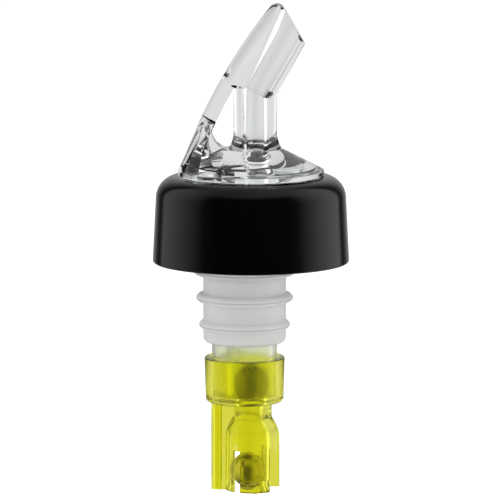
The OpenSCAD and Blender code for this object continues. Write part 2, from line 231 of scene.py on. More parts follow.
def block(low, high):
    """A box between two corners."""
    bm = bmesh.new()
    bmesh.ops.create_cube(bm, size=1)
    low, high = Vector(low), Vector(high)
    bmesh.ops.scale(bm, verts=bm.verts, vec=high - low)
    bmesh.ops.translate(bm, verts=bm.verts, vec=(low + high) / 2)
    return closed(bm)


def rod(start, end, r1, r2=None, segments=96):
    """A round bar or cone from one point to another."""
    start, end = Vector(start), Vector(end)
    along = end - start
    bm = bmesh.new()
    bmesh.ops.create_cone(bm, cap_ends=True, segments=segments, radius1=r1, radius2=r1 if r2 is None else r2,
                          depth=along.length)
    turn = along.to_track_quat("Z", "Y").to_matrix().to_4x4()
    bmesh.ops.transform(bm, matrix=Matrix.Translation((start + end) / 2) @ turn, verts=bm.verts)
    return closed(bm)


def globe(centre, radius, rings=32):
    """A ball with a number of rings of faces."""
    bm = bmesh.new()
    bmesh.ops.create_uvsphere(bm, u_segments=2 * rings, v_segments=rings, radius=radius)
    bmesh.ops.translate(bm, verts=bm.verts, vec=centre)
    return closed(bm)


def closed(bm):
    """The solid's mesh, with its faces turned outwards."""
    bmesh.ops.recalc_face_normals(bm, faces=bm.faces)
    mesh = bpy.data.meshes.new("solid")
    bm.to_mesh(mesh)
    bm.free()
    return mesh


def welded(mesh):
    """The mesh with points that lie on one another made one, which keeps it closed."""
    bm = bmesh.new()
    bm.from_mesh(mesh)
    bmesh.ops.remove_doubles(bm, verts=bm.verts, dist=NEAR)
    bmesh.ops.dissolve_degenerate(bm, edges=bm.edges, dist=NEAR)
    bm.to_mesh(mesh)
    bm.free()
    return mesh


def combine(mesh, others, how):
    """The mesh joined with, cut by, or kept inside each of the others, one after another."""
    objects = bpy.context.scene.collection.objects
    body = bpy.data.objects.new("body", mesh)
    objects.link(body)
    for other in others:
        tool = bpy.data.objects.new("tool", other)
        objects.link(tool)
        step = body.modifiers.new(how, "BOOLEAN")
        step.operation, step.solver, step.object = how, "EXACT", tool
        bpy.context.view_layer.update()
        mesh = bpy.data.meshes.new_from_object(body.evaluated_get(bpy.context.evaluated_depsgraph_get()))
        body.modifiers.clear()
        body.data = welded(mesh)
        bpy.data.objects.remove(tool)
    bpy.data.objects.remove(body)
    if not mesh.polygons:
        raise RuntimeError(f"nothing was left after {how}")
    return mesh


def union(mesh, *others):
    """The solids joined."""
    return combine(mesh, others, "UNION")


def cut(mesh, *others):
    """The first solid without the others."""
    return combine(mesh, others, "DIFFERENCE")


def keep(mesh, *others):
    """What of the first solid lies inside the others."""
    return combine(mesh, others, "INTERSECT")


def piece(name, mesh, finish, body, node, sharp=32):
    """A finished piece in metres, smooth but for its sharp edges, on its body in place of its CAD node."""
    bm = bmesh.new()
    bm.from_mesh(mesh)
    bmesh.ops.remove_doubles(bm, verts=bm.verts, dist=2 * NEAR)
    bmesh.ops.dissolve_degenerate(bm, edges=bm.edges, dist=NEAR)
    bmesh.ops.scale(bm, verts=bm.verts, vec=(MM, MM, MM))
    bm.to_mesh(mesh)
    bm.free()
    mesh.materials.clear()
    mesh.materials.append(finish)
    mesh.shade_smooth()
    mesh.set_sharp_from_angle(angle=math.radians(sharp))
    mesh.name = name
    part = bpy.data.objects.new(name, mesh)
    bpy.context.scene.collection.objects.link(part)
    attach(part, body)
    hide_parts(node)


# Materials

COLOUR_A, COLOUR_B, COLOUR_OUT = 6, 7, 2        # the Mix node's sockets for colours
NOISE = {"From Min": 0.35, "From Max": 0.65}    # where most of a noise pattern's values lie


def add(tree, kind, values=None, links=None, **settings):
    """Adds a node, sets its attributes and its sockets, and links sockets from others."""
    node = tree.nodes.new(kind)
    for key, value in settings.items():
        setattr(node, key, value)
    for key, value in (values or {}).items():
        node.inputs[key].default_value = value
    for key, source in (links or {}).items():
        tree.links.new(source, node.inputs[key])
    return node


def shaded(base, share):
    """A colour times one share, or times a share for each of its red, green and blue."""
    shares = share if isinstance(share, tuple) else (share,) * 3
    return [c * s for c, s in zip(base, shares)]


def material(name, **values):
    """A new material and its shader, with numbers on the shader's sockets, which a pattern may vary."""
    made = bpy.data.materials.new(name)
    made.use_nodes = True
    shader = made.node_tree.nodes["Principled BSDF"]
    for key, value in values.items():
        shader.inputs[key.replace("_", " ")].default_value = value
    return made, made.node_tree, shader


def grain(tree, across, detail=3.0, along=1.0):
    """Noise with features of a size in millimetres, which a number below 1 draws out along z."""
    place = add(tree, "ShaderNodeTexCoord").outputs["Object"]
    mapped = add(tree, "ShaderNodeMapping", {"Scale": (1, 1, along)}, {"Vector": place}).outputs[0]
    scale = 1 / (across * MM)
    noise = add(tree, "ShaderNodeTexNoise", {"Scale": scale, "Detail": detail}, {"Vector": mapped})
    return noise.outputs[0]


def level(tree):
    """How high a point stands, in metres."""
    place = add(tree, "ShaderNodeTexCoord").outputs["Object"]
    return add(tree, "ShaderNodeSeparateXYZ", None, {0: place}).outputs["Z"]


def uneven(tree, shader, pattern, colours=None, roughness=None, relief=None):
    """Lets a pattern vary the colour, the roughness and the relief (its strength, and its depth in mm)."""
    if colours:
        low, high = colours
        mixed = add(tree, "ShaderNodeMix", {COLOUR_A: (*low, 1), COLOUR_B: (*high, 1)}, {0: pattern},
                    data_type="RGBA")
        tree.links.new(mixed.outputs[COLOUR_OUT], shader.inputs["Base Color"])
    if roughness:
        low, high = roughness
        ranged = add(tree, "ShaderNodeMapRange", {**NOISE, "To Min": low, "To Max": high},
                     {"Value": pattern})
        tree.links.new(ranged.outputs[0], shader.inputs["Roughness"])
    if relief:
        strength, depth = relief
        bump = add(tree, "ShaderNodeBump", {"Strength": strength, "Distance": depth * MM},
                   {"Height": pattern})
        tree.links.new(bump.outputs[0], shader.inputs["Normal"])


def tinted(tree, shader, measure, full, none, tint):
    """Paints light or shade into the colour with a tint: wholly where a measure is below full, and not at all
    above none, both in mm.
    """
    ends = {"From Min": full * MM, "From Max": none * MM, "To Min": 1, "To Max": 0}
    share = add(tree, "ShaderNodeMapRange", ends, {"Value": measure}).outputs[0]
    under = shader.inputs["Base Color"].links[0].from_socket
    mixed = add(tree, "ShaderNodeMix", {COLOUR_B: (*tint, 1)}, {0: share, COLOUR_A: under}, data_type="RGBA")
    tree.links.new(mixed.outputs[COLOUR_OUT], shader.inputs["Base Color"])


def through(tree, shader, tint):
    """Lets light fall through a see-through plastic on to what is inside, tinted on its way."""
    light_path = add(tree, "ShaderNodeLightPath").outputs
    filtered = add(tree, "ShaderNodeBsdfTransparent", {"Color": (*tint, 1)})
    mix = add(tree, "ShaderNodeMixShader", None, {0: light_path["Is Shadow Ray"], 1: shader.outputs[0],
                                                  2: filtered.outputs[0]})
    tree.links.new(mix.outputs[0], tree.nodes["Material Output"].inputs["Surface"])


def clear_acrylic(tint):
    """Acrylic, injection moulded in a polished tool: water clear, high gloss, with faint flow waves."""
    made, tree, shader = material("moulded_clear_acrylic", IOR=1.49, Transmission_Weight=1.0, Roughness=0.02)
    through(tree, shader, tint)
    flow = grain(tree, 4.17, 1.0, along=0.35)       # flow waves, longer along the moulding
    uneven(tree, shader, flow, (shaded(tint, 0.985), tint), roughness=(0.012, 0.035), relief=(0.12, 0.12))
    return made


def black_abs(paint):
    """ABS, injection moulded in a polished tool: deep black, a soft gloss and a very faint orange peel."""
    made, tree, shader = material("moulded_gloss_black_abs", IOR=1.53, Roughness=0.06)
    shade = grain(tree, 16.7, 2.0)                  # slow changes of shade round the skirt
    uneven(tree, shader, shade, (shaded(paint, 0.8), paint), roughness=(0.04, 0.07))
    peel = grain(tree, 1.11, 2.0)                   # orange peel
    uneven(tree, shader, peel, relief=(0.04, 0.02))
    return made


def soft_sleeve(rubber, pitch):
    """Translucent thermoplastic elastomer, moulded: satin and milky, with a painted dark line of shade round
    each rib.
    """
    made, tree, shader = material("moulded_translucent_elastomer", IOR=1.25, Roughness=0.5,
                                  Specular_IOR_Level=0.25, Transmission_Weight=0.35, Subsurface_Weight=1.0,
                                  Subsurface_Scale=0.006, Subsurface_Radius=(1, 1, 1))
    through(tree, shader, shaded(rubber, 0.6))
    streaks = grain(tree, 3.33, along=0.2)          # drawn out along the sleeve
    uneven(tree, shader, streaks, (shaded(rubber, 0.93), rubber))
    fine = grain(tree, 0.4, 2.0)                    # the tool's fine texture
    uneven(tree, shader, fine, roughness=(0.38, 0.48), relief=(0.12, 0.03))
    line = -0.1 * MM                                # painted shade: the dark line runs just below the middle of each rib
    above = add(tree, "ShaderNodeMath", {1: line}, {0: level(tree)}, operation="SUBTRACT").outputs[0]
    away = add(tree, "ShaderNodeMath", {1: pitch / 2}, {0: above}, operation="PINGPONG").outputs[0]
    # paints shade: darkens the colour to 55% right at the line under each rib, fading out 0.22 mm away
    tinted(tree, shader, away, 0.08, 0.22, shaded(rubber, 0.55))
    return made


def natural_stem(natural):
    """Natural polypropylene, moulded: milky, blurs what is inside it, with a painted yellow glow of the cup's
    light just above the cup's rim.
    """
    made, tree, shader = material("moulded_natural_polypropylene", IOR=1.49, Roughness=0.25,
                                  Transmission_Weight=0.98)
    through(tree, shader, natural)
    cloud = grain(tree, 2.86, along=0.3)            # milky clouds
    uneven(tree, shader, cloud, (shaded(natural, 0.94), natural), roughness=(0.22, 0.28), relief=(0.1, 0.05))
    # painted light: yellows the colour fully up to 0.8 mm above the cup's rim, fading out 3 mm higher
    tinted(tree, shader, level(tree), TAIL.top + 0.8, TAIL.top + 3.8, shaded(natural, (0.97, 1.0, 0.8)))
    return made


def yellow_styrene(dye):
    """Polystyrene dyed yellow, moulded in a polished tool: see-through, deeper where it is thick."""
    made, tree, shader = material("moulded_dyed_polystyrene", IOR=1.5, Roughness=0.1,
                                  Transmission_Weight=0.97)
    through(tree, shader, dye)
    cloud = grain(tree, 3.85, along=0.35)           # uneven dye
    uneven(tree, shader, cloud, (shaded(dye, (0.97, 0.95, 0.8)), dye), roughness=(0.08, 0.12),
           relief=(0.08, 0.05))
    return made


def ball_steel(name, steel):
    """Hardened steel, ground and tumbled: grey and bright, with a fine haze of wear."""
    made, tree, shader = material(name, Metallic=1.0, Roughness=0.05)
    wear = grain(tree, 1.11, 4.0)                   # wear marks
    uneven(tree, shader, wear, (shaded(steel, 0.8), steel), roughness=(0.03, 0.08))
    return made


# Pieces

class SpoutPlan:
    """The spout's levels and lines in its own plane, in mm: x from the head's axis, z as everywhere."""

    deck_z, edge_z, top_z = 27.1, 28.3, 33.0    # the base's underside, its edge's top, and its flat top
    socket_z = 26.95                            # the end of the stem's socket
    boss_r, boss_top = 9.4, 27.5                # the boss under the base, which the collar hangs on
    tube_x, elbow_z = 0.95, 45.7                # the axis of the upright tube, and where it bends
    slant = math.radians(28)                    # how far the upper tube leans
    tube_reach, bore_reach, mouth_reach = 26.7, 40, 26    # from the elbow to past the cut end
    face_turn = math.radians(31.5)              # from the upper tube's axis to the normal of its cut end
    back_start = math.radians(18.5)             # seen from its centre, how far up the back's arc starts
    tip_r = 2.0                                 # the rounded upper corner of the cut end
    foot_z = 38.4                               # the top of the foot, on the back
    chair_x, chair_z, chair_r = -1.0, 34.4, 8.35    # the round that is cut out of the foot's front
    window_foot = 34.2                          # the lower end of the window
    flare_h = 4.2                               # how high the flare rises round the tube's foot
    heel_r, heel_w = 4.15, 6.4                  # the fillet from the strut to the base, and its width
    past = 30                                   # well past the spout, for what cuts it

    def __init__(self, s):
        self.base_r, self.tube_r, self.bore_r = (v / MM / 2 for v in (s.base, s.tube, s.bore))
        self.top_r, self.fin_r, self.strut = s.deck_top / MM / 2, s.fin / MM / 2, s.strut / MM
        self.back_r = s.back_radius / MM
        self.lean = Vector((math.sin(self.slant), math.cos(self.slant)))
        tilt = self.slant + self.face_turn
        self.face_n = Vector((math.sin(tilt), math.cos(tilt)))
        self.face_u = Vector((-self.face_n.y, self.face_n.x))
        face = Vector((self.tube_x, self.elbow_z)) + s.slant_length / MM * self.lean
        self.back = Vector((-self.base_r + self.back_r * math.cos(self.back_start),
                            self.deck_z - self.back_r * math.sin(self.back_start)))
        reach = (face - self.back).dot(self.face_n) - self.tip_r
        rise = math.sqrt((self.back_r - self.tip_r) ** 2 - reach ** 2)
        self.tip = self.back + reach * self.face_n + rise * self.face_u
        self.tip_v = (self.tip - self.back).normalized()
        inner = self.back.x - self.tube_x + self.tube_r
        self.window_z = self.back.y + math.sqrt((self.back_r - self.strut) ** 2 - inner ** 2)

    def back_x(self, z, depth=0):
        """Where the back's surface, or the surface a depth inside it, stands at a height."""
        return self.back.x - math.sqrt((self.back_r - depth) ** 2 - (z - self.back.y) ** 2)

    def lean_at(self, z):
        """How far the back leans at a height, as an angle from upright."""
        return math.asin((z - self.back.y) / self.back_r)


def bent_bar(p, radius, low, reach, segments=160):
    """A round bar that rises upright, bends at a mitred elbow and leans on past the cut end."""
    bm = bmesh.new()
    bmesh.ops.create_circle(bm, cap_ends=False, segments=segments, radius=radius)
    bmesh.ops.translate(bm, verts=bm.verts, vec=(0, 0, low - p.elbow_z))
    out = bmesh.ops.extrude_edge_only(bm, edges=bm.edges[:])["geom"]
    mitre = Matrix.Identity(4)
    mitre[2] = (-math.tan(p.slant / 2), 0, 0, 0)      # drops a point straight on to the mitre's plane
    verts = [v for v in out if isinstance(v, bmesh.types.BMVert)]
    bmesh.ops.transform(bm, matrix=mitre, verts=verts)
    edges = [e for e in out if isinstance(e, bmesh.types.BMEdge)]
    out = bmesh.ops.extrude_edge_only(bm, edges=edges)["geom"]
    verts = [v for v in out if isinstance(v, bmesh.types.BMVert)]
    bmesh.ops.translate(bm, verts=verts, vec=(reach * p.lean.x, 0, reach * p.lean.y))
    bmesh.ops.holes_fill(bm, edges=[e for e in bm.edges if e.is_boundary])
    bmesh.ops.translate(bm, verts=bm.verts, vec=(p.tube_x, 0, p.elbow_z))
    return closed(bm)


def fin_sweep(p):
    """The fin's round section swept along the back's arc, from inside the foot to past the tip."""
    low, high = p.lean_at(p.foot_z - 0.4), p.lean_at(p.tip.y) + math.radians(3)
    bm = bmesh.new()
    bmesh.ops.create_circle(bm, cap_ends=False, segments=96, radius=p.fin_r)
    place = (Matrix.Translation((p.back.x, 0, p.back.y)) @ Matrix.Rotation(low, 4, "Y")
             @ Matrix.Translation((-(p.back_r - p.fin_r), 0, 0)))
    bmesh.ops.transform(bm, matrix=place, verts=bm.verts)
    bmesh.ops.spin(bm, geom=bm.verts[:] + bm.edges[:], cent=(p.back.x, 0, p.back.y), axis=(0, 1, 0),
                   dvec=(0, 0, 0), angle=high - low, steps=40, use_merge=False)
    bmesh.ops.holes_fill(bm, edges=[e for e in bm.edges if e.is_boundary])
    return closed(bm)


def foot_hull(p, wall=0.0):
    """The foot, from the base's edge up to the fin's section, or with a wall the space inside its skin."""
    inset, tuck = 0.12, 0.03    # how far the foot stays inside the base's edge and inside the fin
    bm = bmesh.new()
    for radius, place in (
            (p.base_r - inset - wall, Matrix.Translation((0, 0, p.deck_z + 0.1 - 3 * wall))),
            (p.base_r - inset - wall, Matrix.Translation((0, 0, p.edge_z - wall / 2))),
            (p.fin_r - tuck - wall, Matrix.Translation((p.back_x(p.foot_z, p.fin_r), 0, p.foot_z))
             @ Matrix.Rotation(p.lean_at(p.foot_z), 4, "Y"))):
        bmesh.ops.create_circle(bm, cap_ends=False, segments=192, radius=radius, matrix=place)
    bmesh.ops.convex_hull(bm, input=bm.verts[:])
    return closed(bm)


def spout_base(p):
    """The shallow cone with its thin rounded edge, the flare round the tube's foot, and the boss below."""
    deck = lathe(rounded([(0, p.deck_z, 0), (p.base_r, p.deck_z, 0.15), (p.base_r, p.edge_z, 0.3),
                          (p.top_r, p.top_z, 0.4), (0, p.top_z, 0)]), segments=192)
    flare_w = p.top_r - p.tube_x - p.tube_r
    flare_r = (p.flare_h ** 2 + flare_w ** 2) / (2 * flare_w)
    sweep = math.degrees(math.asin(p.flare_h / flare_r))
    sunk, tuck = p.top_z - 0.9, 0.03    # the flare starts inside the cone and ends inside the tube
    flare = lathe([(0, sunk), (p.tube_r + flare_w, sunk)]
                  + arc(p.tube_r + flare_r - tuck, p.top_z + p.flare_h, flare_r, 180 + sweep, 180, 16)
                  + [(0, p.top_z + p.flare_h)], x=p.tube_x, segments=160)
    boss = lathe(rounded([(0, SPOUT.foot, 0), (p.boss_r, SPOUT.foot, 0.2), (p.boss_r, p.boss_top, 0),
                          (0, p.boss_top, 0)]), segments=160)
    return deck, flare, boss


def spout_window(p):
    """The space between the tube and the strut."""
    steps = 40
    heights = [p.window_foot + (p.window_z - p.window_foot) * k / steps for k in range(steps + 1)]
    inner = [(p.back_x(z, p.strut), z) for z in heights]
    return slab(inner + [(FAR, p.window_z), (FAR, p.window_foot)], 2 * p.past)


def spout_upper(p, window):
    """The bent tube and the fin behind it, cut off obliquely with a rounded upper corner."""
    tube = bent_bar(p, p.tube_r, p.edge_z, p.tube_reach)
    fin = cut(fin_sweep(p), window)
    front, back = p.tip + p.tip_r * p.face_n, p.tip + p.tip_r * p.tip_v
    turns = [math.degrees(math.atan2(way.y, way.x)) for way in (p.face_n, p.tip_v)]
    end = slab([front - p.past * p.face_u] + arc(p.tip.x, p.tip.y, p.tip_r, *turns, 12)
               + [back + p.past * p.tip_v, back + p.past * (p.tip_v + p.face_n),
                  front - p.past * p.face_u + p.past * p.face_n], 2 * FAR)
    return cut(union(tube, fin), end)


def spout_foot(p, window):
    """The foot, cut away in front like a chair, and the fillet that joins its strut to the base."""
    x, z = p.chair_x, p.chair_z
    chair = union(rod((x, -p.past, z), (x, p.past, z), p.chair_r, segments=256),
                  block((x, -p.past, p.deck_z - 1), (p.past, p.past, p.foot_z + 8)))
    foot = cut(foot_hull(p), chair, window)
    heel_z = p.top_z + p.heel_r
    heel_x = p.back_x(heel_z, p.strut) + p.heel_r
    rear, low = p.back_x(z, p.strut) + 0.3, p.deck_z + 0.5    # inside the strut and inside the base
    fillet = arc(heel_x, heel_z, p.heel_r, 270, 180, 24)
    heel = slab([(rear, low), (heel_x, low)] + fillet + [(rear, heel_z)], p.heel_w)
    return foot, heel


def spout_bores(p):
    """The stem's socket, the bore with its funnel, and its slanted part, which widens towards the end."""
    start_r, end_r, funnel_r = 2.8, 3.6, 2.6
    low = SPOUT.foot - 1
    socket = rod((-HEAD_X, 0, low), (-HEAD_X, 0, p.socket_z), STEM_HOLE_R, segments=128)
    bore = bent_bar(p, p.bore_r, p.socket_z - 1, p.bore_reach, 96)
    elbow, lean = Vector((p.tube_x, 0, p.elbow_z)), Vector((p.lean.x, 0, p.lean.y))
    mouth = rod(elbow, elbow + p.mouth_reach * lean, start_r, end_r, segments=96)
    funnel = globe((p.tube_x, 0, p.socket_z), funnel_r)
    return socket, bore, mouth, funnel


def spout_air_way(p):
    """The hollow in the foot, the channel from it to the socket, and the hole in the fin's back."""
    front, skin, width, wall = -9.7, 1.8, 9.0, 1.0    # the hollow's front, back and sides
    low, middle = p.deck_z - 1, p.strut / 2
    chamber = slab([(p.back_x(low, skin), low), (front, low), (front, p.chair_z),
                    (p.back_x(p.foot_z, middle), p.foot_z + 0.2),
                    (p.back_x(p.chair_z, skin), p.chair_z)], width)
    chamber = keep(chamber, foot_hull(p, wall))
    half, socket_x = 0.9, -HEAD_X - 3.7    # half the channel's width, and where it meets the socket
    channel = block((front - 1, -half, p.deck_z + 0.3), (socket_x, half, p.deck_z + 2.1))
    inlet_z, inlet_r = 49.3, 1.2
    tilt = p.lean_at(inlet_z)
    out = Vector((-math.cos(tilt), 0, math.sin(tilt)))
    start = Vector((p.back_x(inlet_z, middle), 0, inlet_z))
    inlet = rod(start, start + out * 4, inlet_r, segments=48)
    return chamber, channel, inlet


def rim_hollows(p):
    """The groove that brightens the base's rim, and a shallow hollow inside it, both under the base."""
    low, high = SPOUT.foot - 1, 30
    foot_x, moat_x = -6.2, -1    # where the groove starts beside the foot, and where the moat starts
    groove = lathe([(p.base_r - 0.1, p.deck_z - 0.1), (p.base_r - 1.35, p.edge_z + 0.1),
                    (p.base_r - 1.9, p.deck_z - 0.1)], segments=192)
    before = block((foot_x, -FAR, low), (FAR, FAR, high))
    behind = block((-FAR, 0, low - 1), (FAR, FAR + 1, high + 1))
    groove = keep(groove, union(before, behind))
    inner, outer = 11.5, 13.6
    moat = lathe([(inner, p.deck_z - 1), (outer, p.deck_z - 1), (outer, 28.0), (inner, 29.1)], segments=160)
    moat = keep(moat, block((moat_x, -FAR, low), (FAR, FAR, high)))
    return groove, moat


def build_spout(s):
    """The whole spout as one solid, in its place."""
    p = SpoutPlan(s)
    window = spout_window(p)
    deck, flare, boss = spout_base(p)
    foot, heel = spout_foot(p, window)
    solid = union(deck, flare, boss, foot, heel, spout_upper(p, window))
    socket, bore, mouth, funnel = spout_bores(p)
    solid = cut(solid, socket, bore, mouth, *rim_hollows(p), funnel, *spout_air_way(p))
    solid.transform(Matrix.Translation((HEAD_X, 0, 0)))
    return solid


class PourerOperator:
    """What all the operators share"""
    bl_options = {"REGISTER", "UNDO"}


class POURER_OT_spout(PourerOperator, bpy.types.Operator):
    """Builds the clear spout with its breather fin"""
    bl_idname = "pourer.spout"
    bl_label = "Clear spout"

    def execute(self, context):
        s = context.scene.pourer_spout
        solid = build_spout(s)
        piece("clear_spout", solid, clear_acrylic(s.tint), "pourer", "spout", sharp=20)
        return {"FINISHED"}


class POURER_OT_collar(PourerOperator, bpy.types.Operator):
    """Builds the loose black collar"""
    bl_idname = "pourer.collar"
    bl_label = "Black collar"

    def execute(self, context):
        s = context.scene.pourer_collar
        hole, roof, spread = 9.48, 2, 1.0    # hole round the boss, roof's thickness, and skirt's spread
        rim, wall, shoulder = s.rim / MM / 2, s.wall / MM, s.shoulder / MM
        neck, top = rim - spread, COLLAR.top
        low = top - s.height / MM
        shell = lathe(rounded([(hole, top, 0.3), (hole, top - roof, 0.2),
                               (neck - wall, top - roof, shoulder - wall),
                               (rim - wall, low, 0.5), (rim, low, 0.5), (neck, top, shoulder)], 10),
                      x=HEAD_X, segments=192)
        piece("black_collar", shell, black_abs(s.paint), "collar", "collar")
        return {"FINISHED"}


class POURER_OT_cork(PourerOperator, bpy.types.Operator):
    """Builds the ribbed cork sleeve"""
    bl_idname = "pourer.cork"
    bl_label = "Ribbed cork"

    def execute(self, context):
        s = context.scene.pourer_cork
        body, main, step, pitch = s.body / MM / 2, s.main_rib / MM / 2, s.rib_step / MM / 2, s.rib_pitch / MM
        corners = [(STEM_HOLE_R, CORK.foot, 0.2), (body, CORK.foot, 1.2)]
        root, shoulder, land = 1.05, 0.85, 0.25    # half a rib's width at its root, shoulder and edge
        fillet, drop = 0.35, 0.55                  # rounding at the root, and edge over shoulder
        for i in range(-1, 3):
            rib, z = main + i * step, i * pitch
            corners += [(body, z - root, fillet), (rib - drop, z - shoulder, 0.6), (rib, z - land, 0.4),
                        (rib, z + land, 0.4), (rib - drop, z + shoulder, 0.6), (body, z + root, fillet)]
        flange = CORK.top - 2
        corners += [(body, flange, fillet), (CORK.right, flange, 0.4), (CORK.right, CORK.top, 0.4),
                    (STEM_HOLE_R, CORK.top, 0.2)]
        sleeve = lathe(rounded(corners, 6), segments=160)
        piece("cork_sleeve_soft", sleeve, soft_sleeve(s.rubber, s.rib_pitch), "pourer", "cork_sleeve")
        return {"FINISHED"}


class POURER_OT_stem(PourerOperator, bpy.types.Operator):
    """Builds the natural plastic stem tube"""
    bl_idname = "pourer.stem"
    bl_label = "Stem tube"

    def execute(self, context):
        s = context.scene.pourer_cork
        radius, low, high = STEM.right, STEM.foot, SpoutPlan.socket_z - 0.1
        outer = lathe(rounded([(0, low, 0), (radius, low, 0.3), (radius, high, 0.3), (0, high, 0)]),
                      segments=160)
        ends = (RACE_X, 0, low - 2), (RACE_X, 0, high + 2)
        # the air passage is what a wall round the race leaves of the ring inside the tube's own wall
        ring = cut(rod((0, 0, low - 1), (0, 0, high + 1), 6.2, segments=128), rod(*ends, 5.0, segments=128))
        passage = keep(ring, block((-FAR, -FAR, TAIL.top), (-RACE_X, FAR, high + 2)))
        tube = cut(outer, rod(*ends, RACE_R, segments=128), passage)
        # three fins stop the upper ball
        inner, buried, half, foot, length = 3.0, 4.6, 0.5, -10.19, 8
        fins = []
        for turn in (0, 120, 240):
            fin = block((RACE_X + inner, -half, foot), (RACE_X + buried, half, foot + length))
            fin.transform(Matrix.Translation((RACE_X, 0, 0)) @ Matrix.Rotation(math.radians(turn), 4, "Z")
                          @ Matrix.Translation((-RACE_X, 0, 0)))
            fins.append(fin)
        piece("stem_tube_natural", union(tube, *fins), natural_stem(s.natural), "pourer", "stem_tube")
        return {"FINISHED"}


class POURER_OT_tail(PourerOperator, bpy.types.Operator):
    """Builds the yellow measuring tail"""
    bl_idname = "pourer.tail"
    bl_label = "Measuring tail"

    def execute(self, context):
        s = context.scene.pourer_tail
        cup_r, chamber_r, tube_r, slot = s.cup / MM / 2, s.chamber / MM / 2, s.air_tube / MM / 2, s.slot / MM
        rim, floor, end = TAIL.top, STEM.foot, TAIL.foot
        foot, inside = floor - 1.7, floor - 0.85    # the cup's underside, and the middle of its floor
        shoulder, body = -26.7, -31.2               # the top and the foot of the bottle's rounded shoulder
        throat_r, tube_x, air_r = 4.3, -5.9, 0.8
        web_half, ridge_half, ridge_y = 1.3, 0.45, 6.5
        cup = lathe(rounded([(0, foot, 0), (cup_r - 0.3, foot, 1.0), (cup_r, rim, 0.3),
                             (STEM_HOLE_R, rim, 0.25), (STEM_HOLE_R, floor, 0.2), (0, floor, 0)], 6),
                    segments=160)
        turns = [math.pi / 2 * k / 14 for k in range(15)]
        curve = [(throat_r + (chamber_r - throat_r) * math.sin(turn),
                  shoulder - (shoulder - body) * turn / (math.pi / 2)) for turn in turns]
        bottle = lathe([(0, inside), (throat_r, inside)] + curve + [(chamber_r, end), (0, end)], x=CHAMBER_X,
                       segments=160)
        tube = rod((tube_x, 0, end), (tube_x, 0, inside), tube_r, segments=64)
        web = block((tube_x, -web_half, end), (CHAMBER_X, web_half, inside))
        # the leg between the slot and the step on the right carries a flat ridge
        slot_x, step_x = RACE_X - 2.6, RACE_X + 4.55
        leg_x = (slot_x + slot / 2 + step_x) / 2
        ridge = block((leg_x - ridge_half, -ridge_y, end), (leg_x + ridge_half, ridge_y, body))
        solid = union(cup, bottle, tube, web, ridge)
        # the hollow, from below: a cone up to the lip, the race, and the cone that the lower ball shuts
        mouth, lip, bore, above = 4.0, 3.5, 2.9, floor + 1
        hollow = lathe(rounded([(0, end - 1, 0), (mouth, end - 1, 0), (mouth, end, 0), (lip, end + 1.2, 0),
                                (lip, end + 2.4, 0), (RACE_R, end + 2.4, 0), (RACE_R, body + 1.4, 0),
                                (bore, body + 3.6, 0), (bore, above, 0), (0, above, 0)]), x=RACE_X,
                       segments=128)
        air = rod((tube_x, 0, end - 1), (tube_x, 0, above), air_r, segments=48)
        slot_top, step_y, step_half = end + 9.3, 11.2, 10    # the steps leave a rib between them
        slots = block((slot_x - slot / 2, -FAR, end - 1), (slot_x + slot / 2, FAR, slot_top))
        steps = [block((step_x, y - step_half, end - 1), (FAR, y + step_half, slot_top))
                 for y in (-step_y, step_y)]
        short = block((step_x, -FAR, end - 1), (FAR, FAR, end + 0.65))
        solid = cut(solid, hollow, air, slots, short, *steps)
        piece("measuring_tail_yellow", solid, yellow_styrene(s.dye), "pourer", "measuring_tail")
        return {"FINISHED"}


class POURER_OT_balls(PourerOperator, bpy.types.Operator):
    """Builds the two steel balls"""
    bl_idname = "pourer.balls"
    bl_label = "Steel balls"

    def execute(self, context):
        s = context.scene.pourer_balls
        # painted shade: the upper ball gets a darker copy of the same steel
        for node, shade in (("upper_ball", s.upper_painted_shade), ("lower_ball", 1.0)):
            steel = ball_steel("ground_steel_" + node, shaded(s.steel, shade))
            low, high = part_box(node)
            ball = globe((low + high) / 2 / MM, s.ball / MM / 2, s.rings)
            piece(node + "_steel", ball, steel, node, node)
        return {"FINISHED"}


# Studio

# Brightness of the surroundings, by the angle in degrees from the camera's side: dark behind the camera,
# a soft light at each side, a darker gap, then the backdrop. Gloss reflects the first, and clear plastic
# shows the second.
GLOSS_LIGHT = ((0, 0.01), (45, 0.015), (58, 0.08), (64, 0.22), (75, 0.5), (90, 0.85), (109, 1.0),
               (127, 0.85), (133, 0.25), (138, 0.06), (143, 0.12), (150, 0.3), (156, 0.45), (162, 0.6),
               (171, 0.7), (180, 0.72))
CLEAR_LIGHT = ((0, 0.08), (16, 0.1), (28, 0.35), (45, 0.72), (70, 0.9), (90, 1.0), (120, 1.0),
               (138, 0.58), (150, 0.58), (165, 0.62), (180, 0.62))

# Each lamp's name, place, width and height in metres, and power in watts
LAMPS = (
    ("lamp_left", (-0.8, -0.35, 0.15), 0.7, 0.3, 3.8),
    ("lamp_right", (0.9, -0.3, 0.15), 0.7, 0.3, 4.3),
    ("lamp_above", (0.0, 0.1, 1.1), 0.9, 0.9, 3.0),
    ("lamp_front", (0.05, -0.8, 0.0), 0.9, 0.12, 2.0),
)
WHITE = (1, 1, 1, 1)


